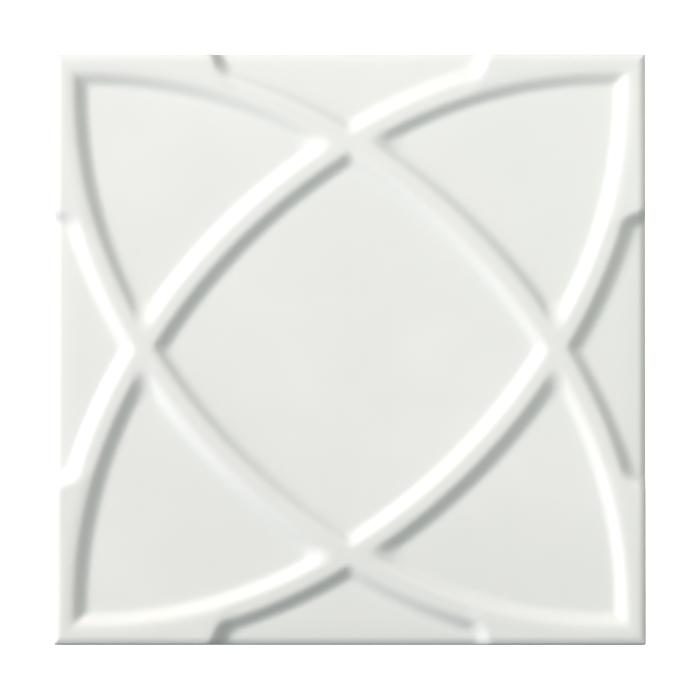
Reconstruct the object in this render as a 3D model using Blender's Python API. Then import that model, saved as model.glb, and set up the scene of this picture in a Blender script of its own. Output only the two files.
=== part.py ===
"""Square relief tile of glazed porcelain, pressed and fired in one piece.

The tile lies on its flat back with its face up. Four raised ridges cross on the
face. Each one sweeps round one corner of the square, from one neighbouring corner
to the other, and where two cross they merge at the same height. Near the corners
the ridges widen into a web that fills the space up to the tile's side and stands a
little above their crests.

Frame: metres, origin in the middle of the back, +X and +Y along the sides,
+Z out of the face.
"""
import math

import bmesh
import bpy
from mathutils import Matrix, Vector
from mathutils.geometry import delaunay_2d_cdt

# Body of the tile
SIDE = 0.200
FIELD_THICKNESS = 0.0080        # from the back to the sunk fields
BACK_CHAMFER = 0.0006

# Edge of the face: it falls away ever more steeply, then turns down over a small arris
EDGE_WIDTH = 0.0027
EDGE_TILT = math.radians(28)    # where the arris begins
ARRIS_RADIUS = 0.0004

# Centre line of a ridge: three tangent arcs round a corner of the square
MIDDLE_ARC_RADIUS = 0.2098
MIDDLE_ARC_SETBACK = 0.00914    # its centre lies this far outside both sides
END_ARC_RADIUS = 0.1602
ARC_JUNCTION = math.radians(25.26)  # where an end arc meets the middle one, from the side

# Section of a ridge
CREST_HALF_WIDTH = 0.0006       # level top
RIDGE_HEIGHT = 0.0023           # above the sunk fields
RIDGE_HALF_WIDTH = 0.0082       # from the centre line to the foot

# Web between a ridge's end and the tile's side
WEB_LENGTH = 0.0502             # its full height ends this far from the corner, at the tile's side
WEB_SLANT = math.radians(18)    # its end leans this much away from the corner, going inward
WEB_FILLET = 0.0065             # where its end meets the ridge, radius halfway up the slope
WEB_RISE = 0.0003               # above the ridge's crest
RISE_INSIDE = 0.0044            # the rise begins this far inside the ridge's centre line
RISE_BEYOND = 0.0020            # and is complete this far beyond it

# Radii of the sunk fields' corners, halfway up the slopes
CROSSING_FILLET = 0.0035
TIP_FILLET = 0.0015             # at the tips beside the tile's corners

# Fineness of the facets
SLOPE_STEPS = 4                 # strips on each slope of a ridge
EDGE_STEPS = 3                  # strips on the falling edge
ARRIS_STEPS = 2                 # strips on the arris
CHORD = 0.008                   # longest facet along a ridge
MERGE = 1e-6

# The arcs' centres and the web's end, in a frame with the corner at its origin
MIDDLE_CENTRE = Vector((-MIDDLE_ARC_SETBACK, -MIDDLE_ARC_SETBACK))
END_CENTRE = MIDDLE_CENTRE + (MIDDLE_ARC_RADIUS - END_ARC_RADIUS) * Vector(
    (math.cos(ARC_JUNCTION), math.sin(ARC_JUNCTION)))
WEB_END = Vector((SIDE, WEB_LENGTH))
PAST_WEB = Vector((math.sin(WEB_SLANT), math.cos(WEB_SLANT)))

# One quarter turn of the face for each ridge, and the step from the middle of the face to a corner
TURNS = [Matrix.Rotation(math.pi / 2 * turn, 2) for turn in range(4)]
TO_CORNER = Vector((SIDE / 2, SIDE / 2))


def fillet(wall, other, radius):
    """The nearer of two walls, its corner with the other one rounded to a radius.

    A wall is the distance from it and the direction straight away from it.
    """
    (near, away), (far, other_away) = sorted((wall, other), key=lambda item: item[0])
    blend = max(MERGE, 4 * radius * (1 - (away + other_away).length / 2))
    overlap = max(0.0, 1 - (far - near) / blend)
    return near - blend * overlap * overlap / 4, away


def ramp(t):
    """A fall from 1 at t = 0 to 0 at t = 1 that is level at both ends."""
    t = min(1.0, max(0.0, t))
    return 1.0 - t + math.sin(2 * math.pi * t) / (2 * math.pi)


def ridge_section(distance):
    """Share of the ridge's height at a distance from its centre line."""
    return ramp((distance - CREST_HALF_WIDTH) / (RIDGE_HALF_WIDTH - CREST_HALF_WIDTH))


def ridge_form(point):
    """The wall of one ridge and its webs, and the share of the webs' rise.

    The point is seen from the ridge's corner.
    """
    mirrored = point.y > point.x
    if mirrored:
        point = point.yx
    from_middle = point - MIDDLE_CENTRE
    on_middle_arc = math.atan2(from_middle.y, from_middle.x) > ARC_JUNCTION
    centre, radius = (MIDDLE_CENTRE, MIDDLE_ARC_RADIUS) if on_middle_arc else (END_CENTRE, END_ARC_RADIUS)
    outward = point - centre
    beyond = outward.length - radius
    outward.normalize()
    past_web = max(0.0, (point - WEB_END).dot(PAST_WEB))
    if beyond <= 0:
        distance, away = -beyond, -outward
    else:
        distance, away = fillet((beyond, outward), (past_web, PAST_WEB), WEB_FILLET)
    web = ramp((RISE_BEYOND - beyond) / (RISE_BEYOND + RISE_INSIDE)) * ridge_section(past_web)
    return (max(0.0, distance), away.yx if mirrored else away), web


def arris_inset(tilt):
    """Distance from the tile's side to the place on the arris that is tilted by this much."""
    return ARRIS_RADIUS * (1 - math.sin(tilt))


def edge_drop(point):
    """How far the edge has fallen below the face."""
    inset = max(0.0, SIDE / 2 - max(abs(point.x), abs(point.y)))
    arris = arris_inset(EDGE_TILT)
    fall = min(1.0, max(0.0, EDGE_WIDTH - inset) / (EDGE_WIDTH - arris))
    drop = (EDGE_WIDTH - arris) * math.tan(EDGE_TILT) / 2 * fall ** 2
    if inset < arris:
        tilt = math.asin(1 - inset / ARRIS_RADIUS)
        drop += ARRIS_RADIUS * (math.cos(EDGE_TILT) - math.cos(tilt))
    return drop


def face_height(point):
    """Height of the face above the back, at a point of the face seen from above."""
    beside_corner = min(abs(point.x), abs(point.y)) > SIDE / 4
    radius = TIP_FILLET if beside_corner else CROSSING_FILLET
    nearest = SIDE, Vector((0.0, 0.0))
    below_webs = 1.0
    for turn in TURNS:
        (distance, away), web = ridge_form(turn.transposed() @ point + TO_CORNER)
        nearest = fillet(nearest, (distance, turn @ away), radius)
        below_webs *= 1.0 - web
    relief = RIDGE_HEIGHT * ridge_section(nearest[0]) + WEB_RISE * (1.0 - below_webs)
    return FIELD_THICKNESS + relief - edge_drop(point)


def arc(centre, radius, offset, start, end):
    """Points on a parallel to an arc, at the same angles for every offset from it."""
    steps = math.ceil(radius * (end - start) / CHORD)
    for step in range(steps + 1):
        angle = start + (end - start) * step / steps
        yield centre + (radius + offset) * Vector((math.cos(angle), math.sin(angle)))


def ridge_line(offset):
    """A line parallel to the centre line, offset beyond it, from side to side of the square."""
    start = -math.asin(END_CENTRE.y / (END_ARC_RADIUS + offset))
    end_arc = list(arc(END_CENTRE, END_ARC_RADIUS, offset, start, ARC_JUNCTION))
    middle = list(arc(MIDDLE_CENTRE, MIDDLE_ARC_RADIUS, offset, ARC_JUNCTION, math.pi / 2 - ARC_JUNCTION))
    mirrored = [point.yx for point in reversed(end_arc)]
    return end_arc + middle[1:-1] + mirrored


def web_end_lines(offset):
    """The two lines across the ends of a ridge's webs, offset beyond them, from side to crest."""
    along = Vector((-PAST_WEB.y, PAST_WEB.x))
    start = WEB_END + Vector((0.0, offset / PAST_WEB.y))
    to_start = start - END_CENTRE
    toward = to_start.dot(along)
    reach = -toward - math.sqrt(toward ** 2 - to_start.length_squared + END_ARC_RADIUS ** 2)
    line = [start, start + along * reach]
    return line, [point.yx for point in line]


def plan_lines():
    """Every line of the face seen from above, and whether it is a closed ring."""
    arris = arris_inset(EDGE_TILT)
    insets = [EDGE_WIDTH + (arris - EDGE_WIDTH) * step / EDGE_STEPS for step in range(EDGE_STEPS)]
    for step in range(ARRIS_STEPS + 1):
        insets.append(arris_inset(EDGE_TILT + (math.pi / 2 - EDGE_TILT) * step / ARRIS_STEPS))
    for inset in insets:
        yield [Vector(sign) * (SIDE / 2 - inset) for sign in ((-1, -1), (1, -1), (1, 1), (-1, 1))], True
    for turn in TURNS:
        lines = []
        for step in range(-SLOPE_STEPS, SLOPE_STEPS + 1):
            slope = (RIDGE_HALF_WIDTH - CREST_HALF_WIDTH) * abs(step) / SLOPE_STEPS
            offset = math.copysign(CREST_HALF_WIDTH + slope, step)
            lines.append(ridge_line(offset))
            if step >= 0:
                lines.extend(web_end_lines(offset))
        for line in lines:
            yield [turn @ (point - TO_CORNER) for point in line], False


def face_plan():
    """Corners and triangles of the face, seen from above, with every line kept as edges."""
    points, edges = [], []
    for line, closed in plan_lines():
        first = len(points)
        points += line
        edges += [(i, i + 1) for i in range(first, len(points) - 1)]
        if closed:
            edges.append((len(points) - 1, first))
    whole_hull = 0
    corners, _, triangles, *_ = delaunay_2d_cdt(points, edges, [], whole_hull, MERGE)
    return corners, [triangle for triangle in triangles if on_tile(corners, triangle)]


def on_tile(corners, triangle):
    """Whether a triangle lies within the square, which the ends of some lines run past."""
    middle = sum((corners[i] for i in triangle), Vector((0.0, 0.0))) / len(triangle)
    return max(abs(middle.x), abs(middle.y)) < SIDE / 2


def lower_rim(bm, rim, height, inset):
    """Extrude the open rim of the shell down to a height, drawn in by inset, and return the new rim."""
    new = bmesh.ops.extrude_edge_only(bm, edges=rim)["geom"]
    scale = 1 - 2 * inset / SIDE
    for vert in (item for item in new if isinstance(item, bmesh.types.BMVert)):
        vert.co = (vert.co.x * scale, vert.co.y * scale, height)
    return [item for item in new if isinstance(item, bmesh.types.BMEdge) and item.is_boundary]


def tile_mesh():
    """The tile as one closed shell: the face, the sides, the chamfer and the flat back."""
    bm = bmesh.new()
    corners, triangles = face_plan()
    verts = [bm.verts.new((point.x, point.y, face_height(point))) for point in corners]
    for triangle in triangles:
        bm.faces.new([verts[i] for i in triangle])
    loose = [vert for vert in bm.verts if not vert.link_faces]
    bmesh.ops.delete(bm, geom=loose, context="VERTS")
    rim = [edge for edge in bm.edges if edge.is_boundary]
    rim = lower_rim(bm, rim, BACK_CHAMFER, 0.0)
    rim = lower_rim(bm, rim, 0.0, BACK_CHAMFER)
    bmesh.ops.contextual_create(bm, geom=rim)
    bmesh.ops.recalc_face_normals(bm, faces=bm.faces[:])
    mesh = bpy.data.meshes.new("porcelain_tile")
    bm.to_mesh(mesh)
    bm.free()
    mesh.shade_smooth()
    mesh.set_sharp_from_angle(angle=math.radians(40))
    return mesh


def glazed_porcelain():
    """White satin glaze over the fired body."""
    material = bpy.data.materials.new("glazed_porcelain")
    material.use_nodes = True
    shader = material.node_tree.nodes["Principled BSDF"]
    shader.inputs["Base Color"].default_value = (0.80, 0.80, 0.77, 1.0)
    shader.inputs["Roughness"].default_value = 0.32
    shader.inputs["Metallic"].default_value = 0.0
    return material


def main():
    for item in list(bpy.data.objects):
        bpy.data.objects.remove(item)
    mesh = tile_mesh()
    mesh.materials.append(glazed_porcelain())
    tile = bpy.data.objects.new("porcelain_tile", mesh)
    bpy.context.scene.collection.objects.link(tile)


main()
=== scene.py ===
"""Square relief tile of glazed porcelain, dressed with its glaze and lit for its picture.

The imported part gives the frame: metres, the origin in the middle of the tile's back, +Z out of
the face. One dressed piece stands for the tile. It carries the relief at full smoothness, the
slight unevenness that firing leaves in the face, the glaze line on the sides and the bare
fired body below it.
"""
from __future__ import annotations

import logging
import math
from collections.abc import Callable
from dataclasses import dataclass, field
from enum import Enum
from typing import Any, Union

import bmesh
import bpy
from mathutils import Matrix, Vector, noise


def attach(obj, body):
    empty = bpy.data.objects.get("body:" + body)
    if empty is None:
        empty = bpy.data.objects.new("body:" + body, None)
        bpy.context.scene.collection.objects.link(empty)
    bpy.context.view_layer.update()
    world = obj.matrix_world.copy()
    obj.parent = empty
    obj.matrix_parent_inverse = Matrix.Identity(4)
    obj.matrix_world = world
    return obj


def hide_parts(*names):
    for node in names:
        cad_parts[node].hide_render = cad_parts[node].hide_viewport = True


log = logging.getLogger("porcelain_tile")

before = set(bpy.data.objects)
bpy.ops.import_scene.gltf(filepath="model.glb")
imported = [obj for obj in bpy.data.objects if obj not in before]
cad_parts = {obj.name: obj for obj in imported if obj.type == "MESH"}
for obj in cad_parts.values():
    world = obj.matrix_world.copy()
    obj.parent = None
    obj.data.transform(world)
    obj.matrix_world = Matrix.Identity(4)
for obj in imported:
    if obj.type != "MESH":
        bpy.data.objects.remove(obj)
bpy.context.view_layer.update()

NODE = "porcelain_tile"
BODY = "root"
MM = 0.001
TINY = 1e-6
CORNERS = 4


# Shader graphs

class Math:
    """A value in a shader graph that adds Math nodes when it is used in an expression."""

    def __init__(self, graph: "Graph", socket: bpy.types.NodeSocket) -> None:
        """Wrap an output socket of a graph's node."""
        self.graph = graph
        self.socket = socket

    def _with(self, operation: str, *operands: Any, clamp: bool = False) -> "Math":
        """Add one Math node.

        Args:
            operation: The Math node's operation.
            operands: Its inputs in order, as numbers or wrapped values.
            clamp: Whether the result is kept between 0 and 1.

        Returns:
            The wrapped result.
        """
        node = self.graph.node("ShaderNodeMath", {"operation": operation, "use_clamp": clamp},
                               dict(enumerate(operands)))
        return Math(self.graph, node.outputs[0])

    def __add__(self, other: Any) -> "Math":
        """Sum."""
        return self._with("ADD", self, other)

    def __radd__(self, other: Any) -> "Math":
        """Sum with a number on the left."""
        return self._with("ADD", other, self)

    def __sub__(self, other: Any) -> "Math":
        """Difference."""
        return self._with("SUBTRACT", self, other)

    def __rsub__(self, other: Any) -> "Math":
        """Difference from a number on the left."""
        return self._with("SUBTRACT", other, self)

    def __mul__(self, other: Any) -> "Math":
        """Product."""
        return self._with("MULTIPLY", self, other)

    def __rmul__(self, other: Any) -> "Math":
        """Product with a number on the left."""
        return self._with("MULTIPLY", other, self)

    def clamped(self) -> "Math":
        """The value kept between 0 and 1."""
        return self._with("ADD", self, 0.0, clamp=True)

    def step(self, start: float, end: float) -> "Math":
        """A smooth rise from 0 at start to 1 at end.

        Args:
            start: Where the rise begins.
            end: Where it is complete.

        Returns:
            The wrapped share between 0 and 1.
        """
        node = self.graph.node("ShaderNodeMapRange", {"interpolation_type": "SMOOTHSTEP"},
                               {"Value": self, "From Min": start, "From Max": end})
        return Math(self.graph, node.outputs["Result"])


Colour = tuple[float, float, float]
Input = Union[float, Colour, Math, bpy.types.NodeSocket]


class Graph:
    """The node graph of one material."""

    def __init__(self, name: str) -> None:
        """Make an empty material with that name."""
        self.material = bpy.data.materials.new(name)
        self.material.use_nodes = True
        self.tree = self.material.node_tree
        self.tree.nodes.clear()

    def node(self, kind: str, settings: dict[str, Any], inputs: dict[Any, Input]) -> bpy.types.Node:
        """Add a node, give it its settings and then fill its sockets.

        Args:
            kind: The node's type.
            settings: Its properties by name.
            inputs: Numbers, colours or links, by the socket's name or place.

        Returns:
            The node.
        """
        node = self.tree.nodes.new(kind)
        for name, value in settings.items():
            setattr(node, name, value)
        for key, value in inputs.items():
            socket = node.inputs[key]
            if isinstance(value, Math):
                value = value.socket
            if isinstance(value, bpy.types.NodeSocket):
                self.tree.links.new(value, socket)
            elif socket.type == "RGBA":
                socket.default_value = (*value, 1.0)
            else:
                socket.default_value = value
        return node

    def position(self) -> bpy.types.NodeSocket:
        """The surface point in the piece's own coordinates, in metres."""
        return self.node("ShaderNodeTexCoord", {}, {}).outputs["Object"]

    def attribute(self, name: str) -> Math:
        """A value that the mesh keeps at each of its points."""
        return Math(self, self.node("ShaderNodeAttribute", {"attribute_name": name}, {}).outputs["Fac"])

    def blend(self, first: Input, second: Input, share: Input) -> bpy.types.NodeSocket:
        """Mix two colours.

        Args:
            first: The colour where the share is 0.
            second: The colour where the share is 1.
            share: The mix between them.

        Returns:
            The colour socket.
        """
        node = self.node("ShaderNodeMix", {"data_type": "RGBA", "clamp_factor": True},
                         {0: share, 6: first, 7: second})
        return node.outputs[2]

    def bump(self, height: Math) -> bpy.types.NodeSocket:
        """Turn a height in metres into a normal."""
        node = self.node("ShaderNodeBump", {}, {"Height": height, "Distance": 1.0, "Strength": 1.0})
        return node.outputs["Normal"]

    def finish(self, principled: dict[str, Input]) -> bpy.types.Material:
        """Close the graph with its surface shader.

        Args:
            principled: The shader's inputs by name.

        Returns:
            The material.
        """
        shader = self.node("ShaderNodeBsdfPrincipled", {}, principled)
        self.node("ShaderNodeOutputMaterial", {}, {"Surface": shader.outputs["BSDF"]})
        return self.material


# Finishes

@dataclass(frozen=True)
class Patches:
    """Soft noise around 0.5, whose patches have a size in metres.

    The shift, also in metres, moves the pattern so that layers differ. The layer's share rises
    from 0 where the noise is at start to the strength where it is at end.
    """

    size: float
    shift: float
    start: float = 0.0
    end: float = 1.0
    strength: float = 1.0
    detail: float = 2.0
    roughness: float = 0.5

    def value(self, graph: Graph) -> Math:
        """Add the plain noise to a graph.

        Args:
            graph: The material's graph.

        Returns:
            The wrapped noise.
        """
        place = graph.node("ShaderNodeVectorMath", {"operation": "ADD"},
                           {0: graph.position(), 1: (self.shift, self.shift, self.shift)})
        node = graph.node("ShaderNodeTexNoise", {"noise_dimensions": "3D"},
                          {"Vector": place.outputs["Vector"], "Scale": 1.0 / self.size,
                           "Detail": self.detail, "Roughness": self.roughness})
        return Math(graph, node.outputs["Fac"])

    def swing(self, graph: Graph) -> Math:
        """The noise moved down to lie around 0."""
        return self.value(graph) - 0.5

    def share(self, graph: Graph) -> Math:
        """How much of a second colour the patches bring."""
        return self.value(graph).step(self.start, self.end) * self.strength


@dataclass(frozen=True)
class GlazedFace:
    """White satin glaze on the face and upper sides, and the bare fired body below the glaze line.

    The glaze pools a little at the feet of the ridges and runs thin over their shoulders, and the
    firing leaves two faint layers of broad greyish clouds in it.
    """

    white: Colour = (0.830, 0.830, 0.797)
    cool: Colour = (0.791, 0.797, 0.763)
    grey: Colour = (0.760, 0.770, 0.735)
    pooled: Colour = (0.766, 0.783, 0.753)
    thin: Colour = (0.811, 0.811, 0.782)
    speck: Colour = (0.55, 0.52, 0.46)
    bare: Colour = (0.74, 0.70, 0.63)
    toasted: Colour = (0.66, 0.57, 0.46)
    cool_clouds: Patches = Patches(55 * MM, shift=13.7, start=0.25, end=0.55)
    grey_clouds: Patches = Patches(55 * MM, shift=27.2, start=0.30, end=0.70, strength=0.5)
    specks: Patches = Patches(0.9 * MM, shift=0.53, start=0.80, end=0.84, strength=0.15, detail=0.0)
    speck_groups: Patches = Patches(9 * MM, shift=0.19, start=0.55, end=0.65, detail=0.0)
    body_tone: Patches = Patches(5 * MM, shift=0.44, start=0.45, end=0.95, strength=0.35, detail=4.0)
    pooling: float = 0.6
    line_edge: Patches = Patches(1.1 * MM, shift=0.66)
    line_wobble: float = 0.3 * MM
    line_blur: float = 0.04 * MM
    toast_width: float = 0.5 * MM
    toast_strength: float = 0.55
    ripple: Patches = Patches(2.2 * MM, shift=0.27)
    ripple_height: float = 0.04 * MM
    grain: Patches = Patches(0.35 * MM, shift=0.71)
    grain_height: float = 0.03 * MM
    sheen: Patches = Patches(14 * MM, shift=0.12, detail=3.0)
    sheen_swing: float = 0.05
    satin: float = 0.48
    matte: float = 0.85
    index: float = 1.5

    def glaze(self, graph: Graph) -> bpy.types.NodeSocket:
        """Colour of the glaze, from the clouds, the mesh's pool attribute and a few specks.

        Args:
            graph: The material's graph.

        Returns:
            The colour socket.
        """
        pool = graph.attribute("pool") * self.pooling
        colour = graph.blend(self.white, self.cool, self.cool_clouds.share(graph))
        colour = graph.blend(colour, self.grey, self.grey_clouds.share(graph))
        colour = graph.blend(colour, self.pooled, pool.clamped())
        colour = graph.blend(colour, self.thin, (pool * -1.0).clamped())
        specks = self.specks.share(graph) * self.speck_groups.share(graph)
        return graph.blend(colour, self.speck, specks)

    def body(self, graph: Graph, depth: Math) -> bpy.types.NodeSocket:
        """Colour of the fired body, toasted where it meets the glaze.

        Args:
            graph: The material's graph.
            depth: Depth below the glaze line in metres.

        Returns:
            The colour socket.
        """
        colour = graph.blend(self.bare, self.toasted, self.body_tone.share(graph))
        toast = 1 - depth.step(0.0, self.toast_width)
        return graph.blend(colour, self.toasted, toast * self.toast_strength)

    def material(self) -> bpy.types.Material:
        """Make the material, which reads the mesh's below_glaze and pool attributes.

        Returns:
            The material.
        """
        graph = Graph("glazed_porcelain")
        depth = graph.attribute("below_glaze") + self.line_edge.swing(graph) * self.line_wobble
        bare = depth.step(-self.line_blur, self.line_blur)
        satin = self.satin + self.sheen.swing(graph) * self.sheen_swing
        ripple = self.ripple.value(graph) * (1 - bare) * self.ripple_height
        grain = self.grain.value(graph) * bare * self.grain_height
        colour = graph.blend(self.glaze(graph), self.body(graph, depth), bare)
        return graph.finish({"Base Color": colour,
                             "Roughness": satin + (self.matte - self.satin) * bare,
                             "Normal": graph.bump(ripple + grain), "IOR": self.index})


@dataclass(frozen=True)
class PaleFloor:
    """Evenly bright white surface under the tile."""

    white: Colour = (0.90, 0.90, 0.90)
    shade: Colour = (0.88, 0.88, 0.88)
    tone: Patches = Patches(0.6, shift=0.0, detail=1.0)
    glow: Colour = (1.0, 1.0, 1.0)
    glow_strength: float = 0.95
    matte: float = 0.9

    def material(self) -> bpy.types.Material:
        """Make the material.

        Returns:
            The material.
        """
        graph = Graph("pale_floor")
        colour = graph.blend(self.white, self.shade, self.tone.value(graph))
        return graph.finish({"Base Color": colour, "Roughness": self.matte,
                             "Emission Color": self.glow, "Emission Strength": self.glow_strength})


# Relief of the face

@dataclass
class Wall:
    """The nearest slope's distance from a point, and the direction straight away from it."""

    distance: float
    away: Vector

    def filleted(self, other: "Wall", radius: float) -> "Wall":
        """The nearer of two walls, with the corner that they make rounded.

        The walls blend over a width that is nothing where they run side by side and four
        radii where they face each other.

        Args:
            other: The second wall.
            radius: The rounding's radius in metres.

        Returns:
            The joined wall.
        """
        near, far = (self, other) if self.distance <= other.distance else (other, self)
        blend = max(TINY, 4 * radius * (1 - (near.away + far.away).length / 2))
        overlap = max(0.0, 1 - (far.distance - near.distance) / blend)
        return Wall(near.distance - blend * overlap * overlap / 4, near.away)


@dataclass
class Relief:
    """The pattern of four ridges, each swept round one corner of the square.

    A ridge follows a wide arc round its middle and a tighter arc at either end, which meet at
    the junction's heading. Beyond each end arc a web fills the face and stands the web's rise
    above the crest. It ends at a slanted line that crosses the tile's side at the web's length.
    """

    side: float = 200 * MM
    middle_radius: float = 209.8 * MM
    middle_setback: float = 9.14 * MM
    end_radius: float = 160.2 * MM
    junction: float = math.radians(25.26)
    crest_half_width: float = 0.6 * MM
    half_width: float = 8.2 * MM
    height: float = 2.3 * MM
    web_length: float = 50.2 * MM
    web_slant: float = math.radians(18)
    web_fillet: float = 6.5 * MM
    web_rise: float = 0.3 * MM
    rise_inside: float = 4.4 * MM
    rise_beyond: float = 2.0 * MM
    crossing_fillet: float = 3.5 * MM
    tip_fillet: float = 1.5 * MM

    def __post_init__(self) -> None:
        """Place the arcs' centres and the web's end, from a corner at the origin."""
        self.middle_centre = Vector((-self.middle_setback, -self.middle_setback))
        self.end_centre = self.middle_centre + (self.middle_radius - self.end_radius) * Vector(
            (math.cos(self.junction), math.sin(self.junction)))
        self.web_end = Vector((self.side, self.web_length))
        self.past_web = Vector((math.sin(self.web_slant), math.cos(self.web_slant)))
        self.to_corner = Vector((self.side / 2, self.side / 2))
        self.turns = [Matrix.Rotation(math.pi / 2 * turn, 2) for turn in range(CORNERS)]

    @staticmethod
    def ramp(t: float) -> float:
        """A fall from 1 at t = 0 to 0 at t = 1 that is level at both ends."""
        t = min(1.0, max(0.0, t))
        return 1.0 - t + math.sin(2 * math.pi * t) / (2 * math.pi)

    def share_down(self, distance: float) -> float:
        """How far down a slope a place lies: 0 on the crest, 1 and more in a field."""
        slope_width = self.half_width - self.crest_half_width
        return max(0.0, distance - self.crest_half_width) / slope_width

    def ridge(self, point: Vector) -> tuple[Wall, float]:
        """The form of one ridge and its webs.

        Args:
            point: A point of the face, seen from the ridge's own corner.

        Returns:
            The wall nearest to the point, and the share of the webs' rise there.
        """
        mirrored = point.y > point.x
        if mirrored:
            point = point.yx
        from_middle = point - self.middle_centre
        if math.atan2(from_middle.y, from_middle.x) > self.junction:
            centre, radius = self.middle_centre, self.middle_radius
        else:
            centre, radius = self.end_centre, self.end_radius
        outward = point - centre
        beyond = outward.length - radius
        outward.normalize()
        past_web = max(0.0, (point - self.web_end).dot(self.past_web))
        if beyond <= 0:
            wall = Wall(-beyond, -outward)
        else:
            wall = Wall(beyond, outward).filleted(Wall(past_web, self.past_web), self.web_fillet)
        across = self.ramp((self.rise_beyond - beyond) / (self.rise_beyond + self.rise_inside))
        away = wall.away.yx if mirrored else wall.away
        return Wall(max(0.0, wall.distance), away), across * self.ramp(self.share_down(past_web))

    def survey(self, point: Vector) -> tuple[float, float]:
        """The form of the whole pattern.

        Args:
            point: A point of the face, from its middle.

        Returns:
            How far down the slope the point lies, and its height above the fields.
        """
        beside_corner = min(abs(point.x), abs(point.y)) > self.side / 4
        radius = self.tip_fillet if beside_corner else self.crossing_fillet
        nearest = Wall(self.side, Vector((0.0, 0.0)))
        below_webs = 1.0
        for turn in self.turns:
            wall, web = self.ridge(turn.transposed() @ point + self.to_corner)
            nearest = nearest.filleted(Wall(wall.distance, turn @ wall.away), radius)
            below_webs *= 1.0 - web
        share = self.share_down(nearest.distance)
        return share, self.height * self.ramp(share) + self.web_rise * (1.0 - below_webs)


# The tile

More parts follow.
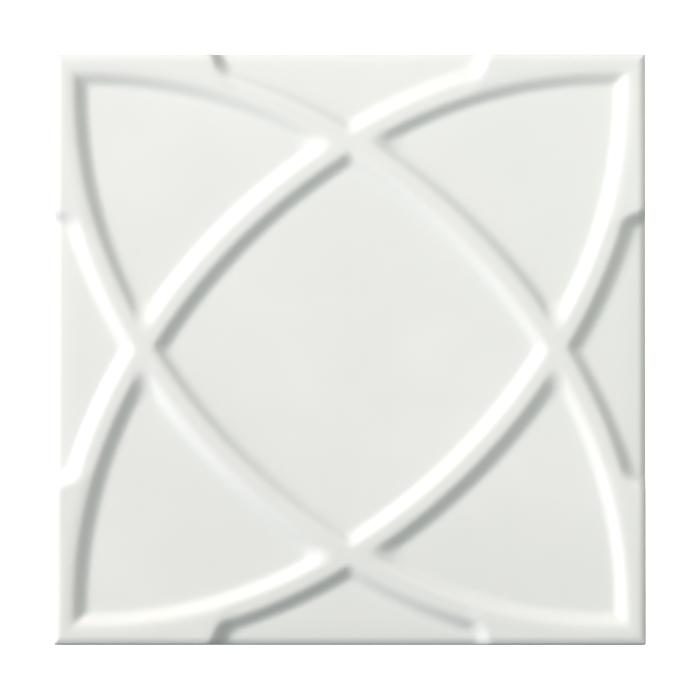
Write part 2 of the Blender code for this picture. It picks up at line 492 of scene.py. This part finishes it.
@dataclass
class Tile:
    """The whole tile as one piece: face, rounded edge, glazed sides, bare foot and back."""

    relief: Relief = field(default_factory=Relief)
    finish: GlazedFace = field(default_factory=GlazedFace)
    side: float = 200 * MM
    field_thickness: float = 8.0 * MM
    edge_width: float = 2.7 * MM
    edge_tilt: float = math.radians(28)
    arris_radius: float = 0.4 * MM
    back_chamfer: float = 0.6 * MM
    corner_blend: float = 0.35 * MM
    cells: int = 268
    edge_cells: int = 6
    arris_cells: int = 4
    sink_width: float = 9.5 * MM
    sink_depth: float = 0.35 * MM
    warp_size: float = 33 * MM
    warp_height: float = 0.035 * MM
    warp_offset: float = 0.3
    glaze_line: float = 2.3 * MM
    line_swing: float = 0.35 * MM
    line_wave: float = 16 * MM
    fine_waves: float = 3.1
    fine_swing: float = 0.4
    fine_level: float = 0.4
    lip: float = 0.14 * MM
    foot_inset: float = 0.22 * MM
    sharp_angle: float = math.radians(38)

    def arris_inset(self, tilt: float) -> float:
        """Distance from the side to the place on the arris that is tilted by this much."""
        return self.arris_radius * (1 - math.sin(tilt))

    def stations(self) -> list[float]:
        """Place the grid's lines across the tile, closer together over the edge and the arris.

        Returns:
            Their places, from one side of the tile to the other.
        """
        half = self.side / 2
        flat = half - self.edge_width
        start = self.arris_inset(self.edge_tilt)
        edge = self.edge_width - start
        outer = [flat + edge * k / self.edge_cells for k in range(1, self.edge_cells + 1)]
        for k in range(1, self.arris_cells + 1):
            tilt = self.edge_tilt + (math.pi / 2 - self.edge_tilt) * k / self.arris_cells
            outer.append(half - self.arris_inset(tilt))
        middle = [flat * (2 * k / self.cells - 1) for k in range(self.cells + 1)]
        return [-place for place in reversed(outer)] + middle + outer

    def edge_drop(self, inset: float) -> float:
        """How far the edge has fallen below the face.

        Args:
            inset: Distance from the tile's side.

        Returns:
            The fall, which is 0 where the face is still level.
        """
        start = self.arris_inset(self.edge_tilt)
        fall = min(1.0, max(0.0, self.edge_width - inset) / (self.edge_width - start))
        drop = (self.edge_width - start) * math.tan(self.edge_tilt) / 2 * fall ** 2
        if inset < start:
            tilt = math.asin(1 - inset / self.arris_radius)
            drop += self.arris_radius * (math.cos(self.edge_tilt) - math.cos(tilt))
        return drop

    def warp(self, spot: Vector) -> float:
        """Change that firing makes to the face's height at a place, which is never upward."""
        sample = Vector((spot.x, spot.y, 0.0)) / self.warp_size
        return self.warp_height * min(0.0, noise.noise(sample) - self.warp_offset)

    def sink(self, share: float, inset: float) -> float:
        """How far the floor of a field has sunk beside the tile's edge, and nothing on a crest."""
        near = max(0.0, 1 - inset / self.sink_width)
        return self.sink_depth * near * near * (1 - self.relief.ramp(share))

    def shape_face(self, bm: bmesh.types.BMesh) -> None:
        """Move a plain grid's points onto the relief and note how the glaze pools at each.

        The outline's four corners are drawn in a little, so that they aren't knife-sharp.

        Args:
            bm: A mesh that holds one square grid, with its points' places as grid numbers.
        """
        pool = bm.verts.layers.float.new("pool")
        below = bm.verts.layers.float.new("below_glaze")
        places = self.stations()
        half_count = (len(places) - 1) / 2
        corner_zone = self.side / 2 - 2 * self.edge_width
        for vert in bm.verts:
            column, row = round(vert.co.x + half_count), round(vert.co.y + half_count)
            spot = Vector((places[column], places[row]))
            outer = max(abs(spot.x), abs(spot.y))
            if outer > corner_zone:
                meet = max(0.0, 1 - abs(abs(spot.x) - abs(spot.y)) / self.corner_blend)
                pull = self.corner_blend * meet * meet / 4
                spot -= Vector((math.copysign(pull, spot.x), math.copysign(pull, spot.y)))
            share, lift = self.relief.survey(spot)
            inset = max(0.0, self.side / 2 - outer)
            calm = min(1.0, inset / self.edge_width)
            height = self.field_thickness + lift + self.warp(spot) * calm - self.sink(share, inset)
            vert.co = (spot.x, spot.y, height - self.edge_drop(inset))
            wet = -math.sin(2 * math.pi * share) if share < 1 else 0.0
            vert[pool] = wet * calm - (1 - calm) ** 2
            vert[below] = -self.field_thickness

    def line_height(self, spot: Vector) -> float:
        """Height of the glaze line, which runs in broad and fine waves.

        Args:
            spot: A place on the tile's outline.

        Returns:
            The height above the back.
        """
        broad = Vector((spot.x, spot.y, 0.0)) / self.line_wave
        fine = Vector((spot.y, spot.x, self.fine_level)) * self.fine_waves / self.line_wave
        waves = noise.noise(broad) + self.fine_swing * noise.noise(fine)
        return self.glaze_line + self.line_swing * waves

    def lower(self, bm: bmesh.types.BMesh, rim: list[bmesh.types.BMEdge],
              level: Callable[[bmesh.types.BMVert], float], inset: float) -> list[bmesh.types.BMEdge]:
        """Extrude the open rim down to a level.

        Args:
            bm: The mesh.
            rim: Its open edges.
            level: Gives the new height for a vertex of the rim.
            inset: How far the new rim is drawn in.

        Returns:
            The new open edges.
        """
        below = bm.verts.layers.float["below_glaze"]
        pool = bm.verts.layers.float["pool"]
        new = bmesh.ops.extrude_edge_only(bm, edges=rim)["geom"]
        scale = 1 - 2 * inset / self.side
        for vert in (item for item in new if isinstance(item, bmesh.types.BMVert)):
            line = self.line_height(vert.co)
            vert.co = (vert.co.x * scale, vert.co.y * scale, level(vert))
            vert[below] = line - vert.co.z
            vert[pool] = 0.0
        return [item for item in new if isinstance(item, bmesh.types.BMEdge) and item.is_boundary]

    def close_sides(self, bm: bmesh.types.BMesh) -> None:
        """Take the face's rim down the glazed sides, in under the lip and across the back.

        Args:
            bm: The mesh, with the face already shaped.
        """
        rim = [edge for edge in bm.edges if edge.is_boundary]
        tuck = self.lip / 2
        rim = self.lower(bm, rim, lambda vert: (vert.co.z + self.line_height(vert.co)) / 2, 0.0)
        rim = self.lower(bm, rim, lambda vert: self.line_height(vert.co) + self.lip, 0.0)
        rim = self.lower(bm, rim, lambda vert: self.line_height(vert.co), tuck)
        rim = self.lower(bm, rim, lambda vert: self.line_height(vert.co) - tuck, self.foot_inset - tuck)
        rim = self.lower(bm, rim, lambda vert: self.back_chamfer, 0.0)
        rim = self.lower(bm, rim, lambda vert: 0.0, self.back_chamfer)
        bmesh.ops.contextual_create(bm, geom=rim)

    def mesh(self) -> bpy.types.Mesh:
        """Build the closed shell of the tile.

        Returns:
            The mesh, with its pool and below_glaze attributes.
        """
        bm = bmesh.new()
        count = self.cells + 2 * (self.edge_cells + self.arris_cells)
        bmesh.ops.create_grid(bm, x_segments=count, y_segments=count, size=count / 2)
        self.shape_face(bm)
        self.close_sides(bm)
        bmesh.ops.recalc_face_normals(bm, faces=bm.faces[:])
        mesh = bpy.data.meshes.new(NODE)
        bm.to_mesh(mesh)
        bm.free()
        mesh.shade_smooth()
        mesh.set_sharp_from_angle(angle=self.sharp_angle)
        return mesh

    def build(self) -> bpy.types.Object:
        """Make the piece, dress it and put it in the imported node's place.

        Returns:
            The piece.
        """
        mesh = self.mesh()
        mesh.materials.append(self.finish.material())
        piece = bpy.data.objects.new("dressed_tile", mesh)
        bpy.context.scene.collection.objects.link(piece)
        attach(piece, BODY)
        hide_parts(NODE)
        return piece


# Studio

class Role(Enum):
    """What a lamp does in the studio."""

    KEY = "key"
    BACK = "back"
    SIDE = "side"
    LOW = "low"


@dataclass(frozen=True)
class Lamp:
    """One round soft box, aimed at the tile.

    Its azimuth, counted from +X, and its elevation are in degrees, its distance and its
    diameter in metres and its power in watts.
    """

    role: Role
    azimuth: float
    elevation: float
    distance: float
    size: float
    power: float
    colour: Colour

    def build(self) -> bpy.types.Object:
        """Hang the lamp in the scene.

        Returns:
            The lamp.
        """
        turn, rise = math.radians(self.azimuth), math.radians(self.elevation)
        level = math.cos(rise)
        toward = Vector((math.cos(turn) * level, math.sin(turn) * level, math.sin(rise)))
        data = bpy.data.lights.new(f"{self.role.value}_lamp", "AREA")
        data.shape = "DISK"
        data.size = self.size
        data.energy = self.power
        data.color = self.colour
        lamp = bpy.data.objects.new(data.name, data)
        lamp.location = toward * self.distance
        lamp.rotation_euler = (-toward).to_track_quat("-Z", "Y").to_euler()
        bpy.context.scene.collection.objects.link(lamp)
        log.info("%s: %.1f W", lamp.name, self.power)
        return lamp


@dataclass
class Studio:
    """Pale floor, four soft boxes in a dark room and the camera above the face.

    The frame is as wide as the photograph's, in which the tile covers tile_pixels of
    picture_pixels. The floor lies a hair below the tile's back, so that the two don't coincide.
    """

    lamps: tuple[Lamp, ...] = (
        Lamp(Role.KEY, 156, 24, 1.5, 0.4, 27.8, (1.0, 0.938, 0.925)),
        Lamp(Role.BACK, 70, 45, 0.8, 0.5, 1.96, (0.94, 0.995, 1.0)),
        Lamp(Role.SIDE, 0, 60, 0.7, 0.4, 1.63, (0.97, 0.995, 0.955)),
        Lamp(Role.LOW, 215, 20, 1.2, 0.6, 4.55, (0.725, 0.882, 1.0)),
    )
    floor_size: float = 16.0
    floor_gap: float = 0.02 * MM
    lens: float = 600.0
    sensor: float = 36.0
    far_limit: float = 100.0
    picture_pixels: float = 700.0
    tile_pixels: float = 590.2
    tile_side: float = 200 * MM
    aim: tuple[float, float, float] = (0.02 * MM, -0.13 * MM, 4.0 * MM)
    lean: float = 0.055

    def floor(self) -> bpy.types.Object:
        """Lay the floor that the tile lies on.

        Returns:
            The floor.
        """
        bm = bmesh.new()
        bmesh.ops.create_grid(bm, x_segments=1, y_segments=1, size=self.floor_size / 2)
        mesh = bpy.data.meshes.new("floor")
        bm.to_mesh(mesh)
        bm.free()
        mesh.materials.append(PaleFloor().material())
        floor = bpy.data.objects.new("floor", mesh)
        floor.location.z = -self.floor_gap
        floor.visible_diffuse = False
        floor.visible_glossy = False
        bpy.context.scene.collection.objects.link(floor)
        return floor

    def camera(self) -> bpy.types.Object:
        """Hang the camera above the tile.

        It leans a little toward the bottom, where the photograph shows a line of the tile's side.

        Returns:
            The camera.
        """
        data = bpy.data.cameras.new("camera")
        data.lens = self.lens
        data.sensor_width = self.sensor
        data.clip_end = self.far_limit
        camera = bpy.data.objects.new("camera", data)
        turn = Matrix.Rotation(self.lean, 3, "X")
        frame_width = self.picture_pixels * self.tile_side / self.tile_pixels
        distance = self.lens / self.sensor * frame_width
        camera.location = Vector(self.aim) + turn @ Vector((0.0, 0.0, distance))
        camera.rotation_euler = turn.to_euler()
        bpy.context.scene.collection.objects.link(camera)
        bpy.context.scene.camera = camera
        return camera

    def darken(self) -> None:
        """Leave the lamps as the only light."""
        world = bpy.data.worlds.new("dark_room")
        world.use_nodes = True
        world.node_tree.nodes["Background"].inputs["Strength"].default_value = 0.0
        bpy.context.scene.world = world

    def build(self) -> None:
        """Set up the whole studio."""
        self.floor()
        self.camera()
        for lamp in self.lamps:
            lamp.build()
        self.darken()
        bpy.context.scene.view_settings.view_transform = "Standard"


def main() -> None:
    """Build the tile and its studio, and report each piece."""
    logging.basicConfig(level=logging.INFO, format="%(name)s: %(message)s")
    tile = Tile().build()
    log.info("%s: %d faces", tile.name, len(tile.data.polygons))
    Studio().build()


if __name__ == "__main__":
    main()
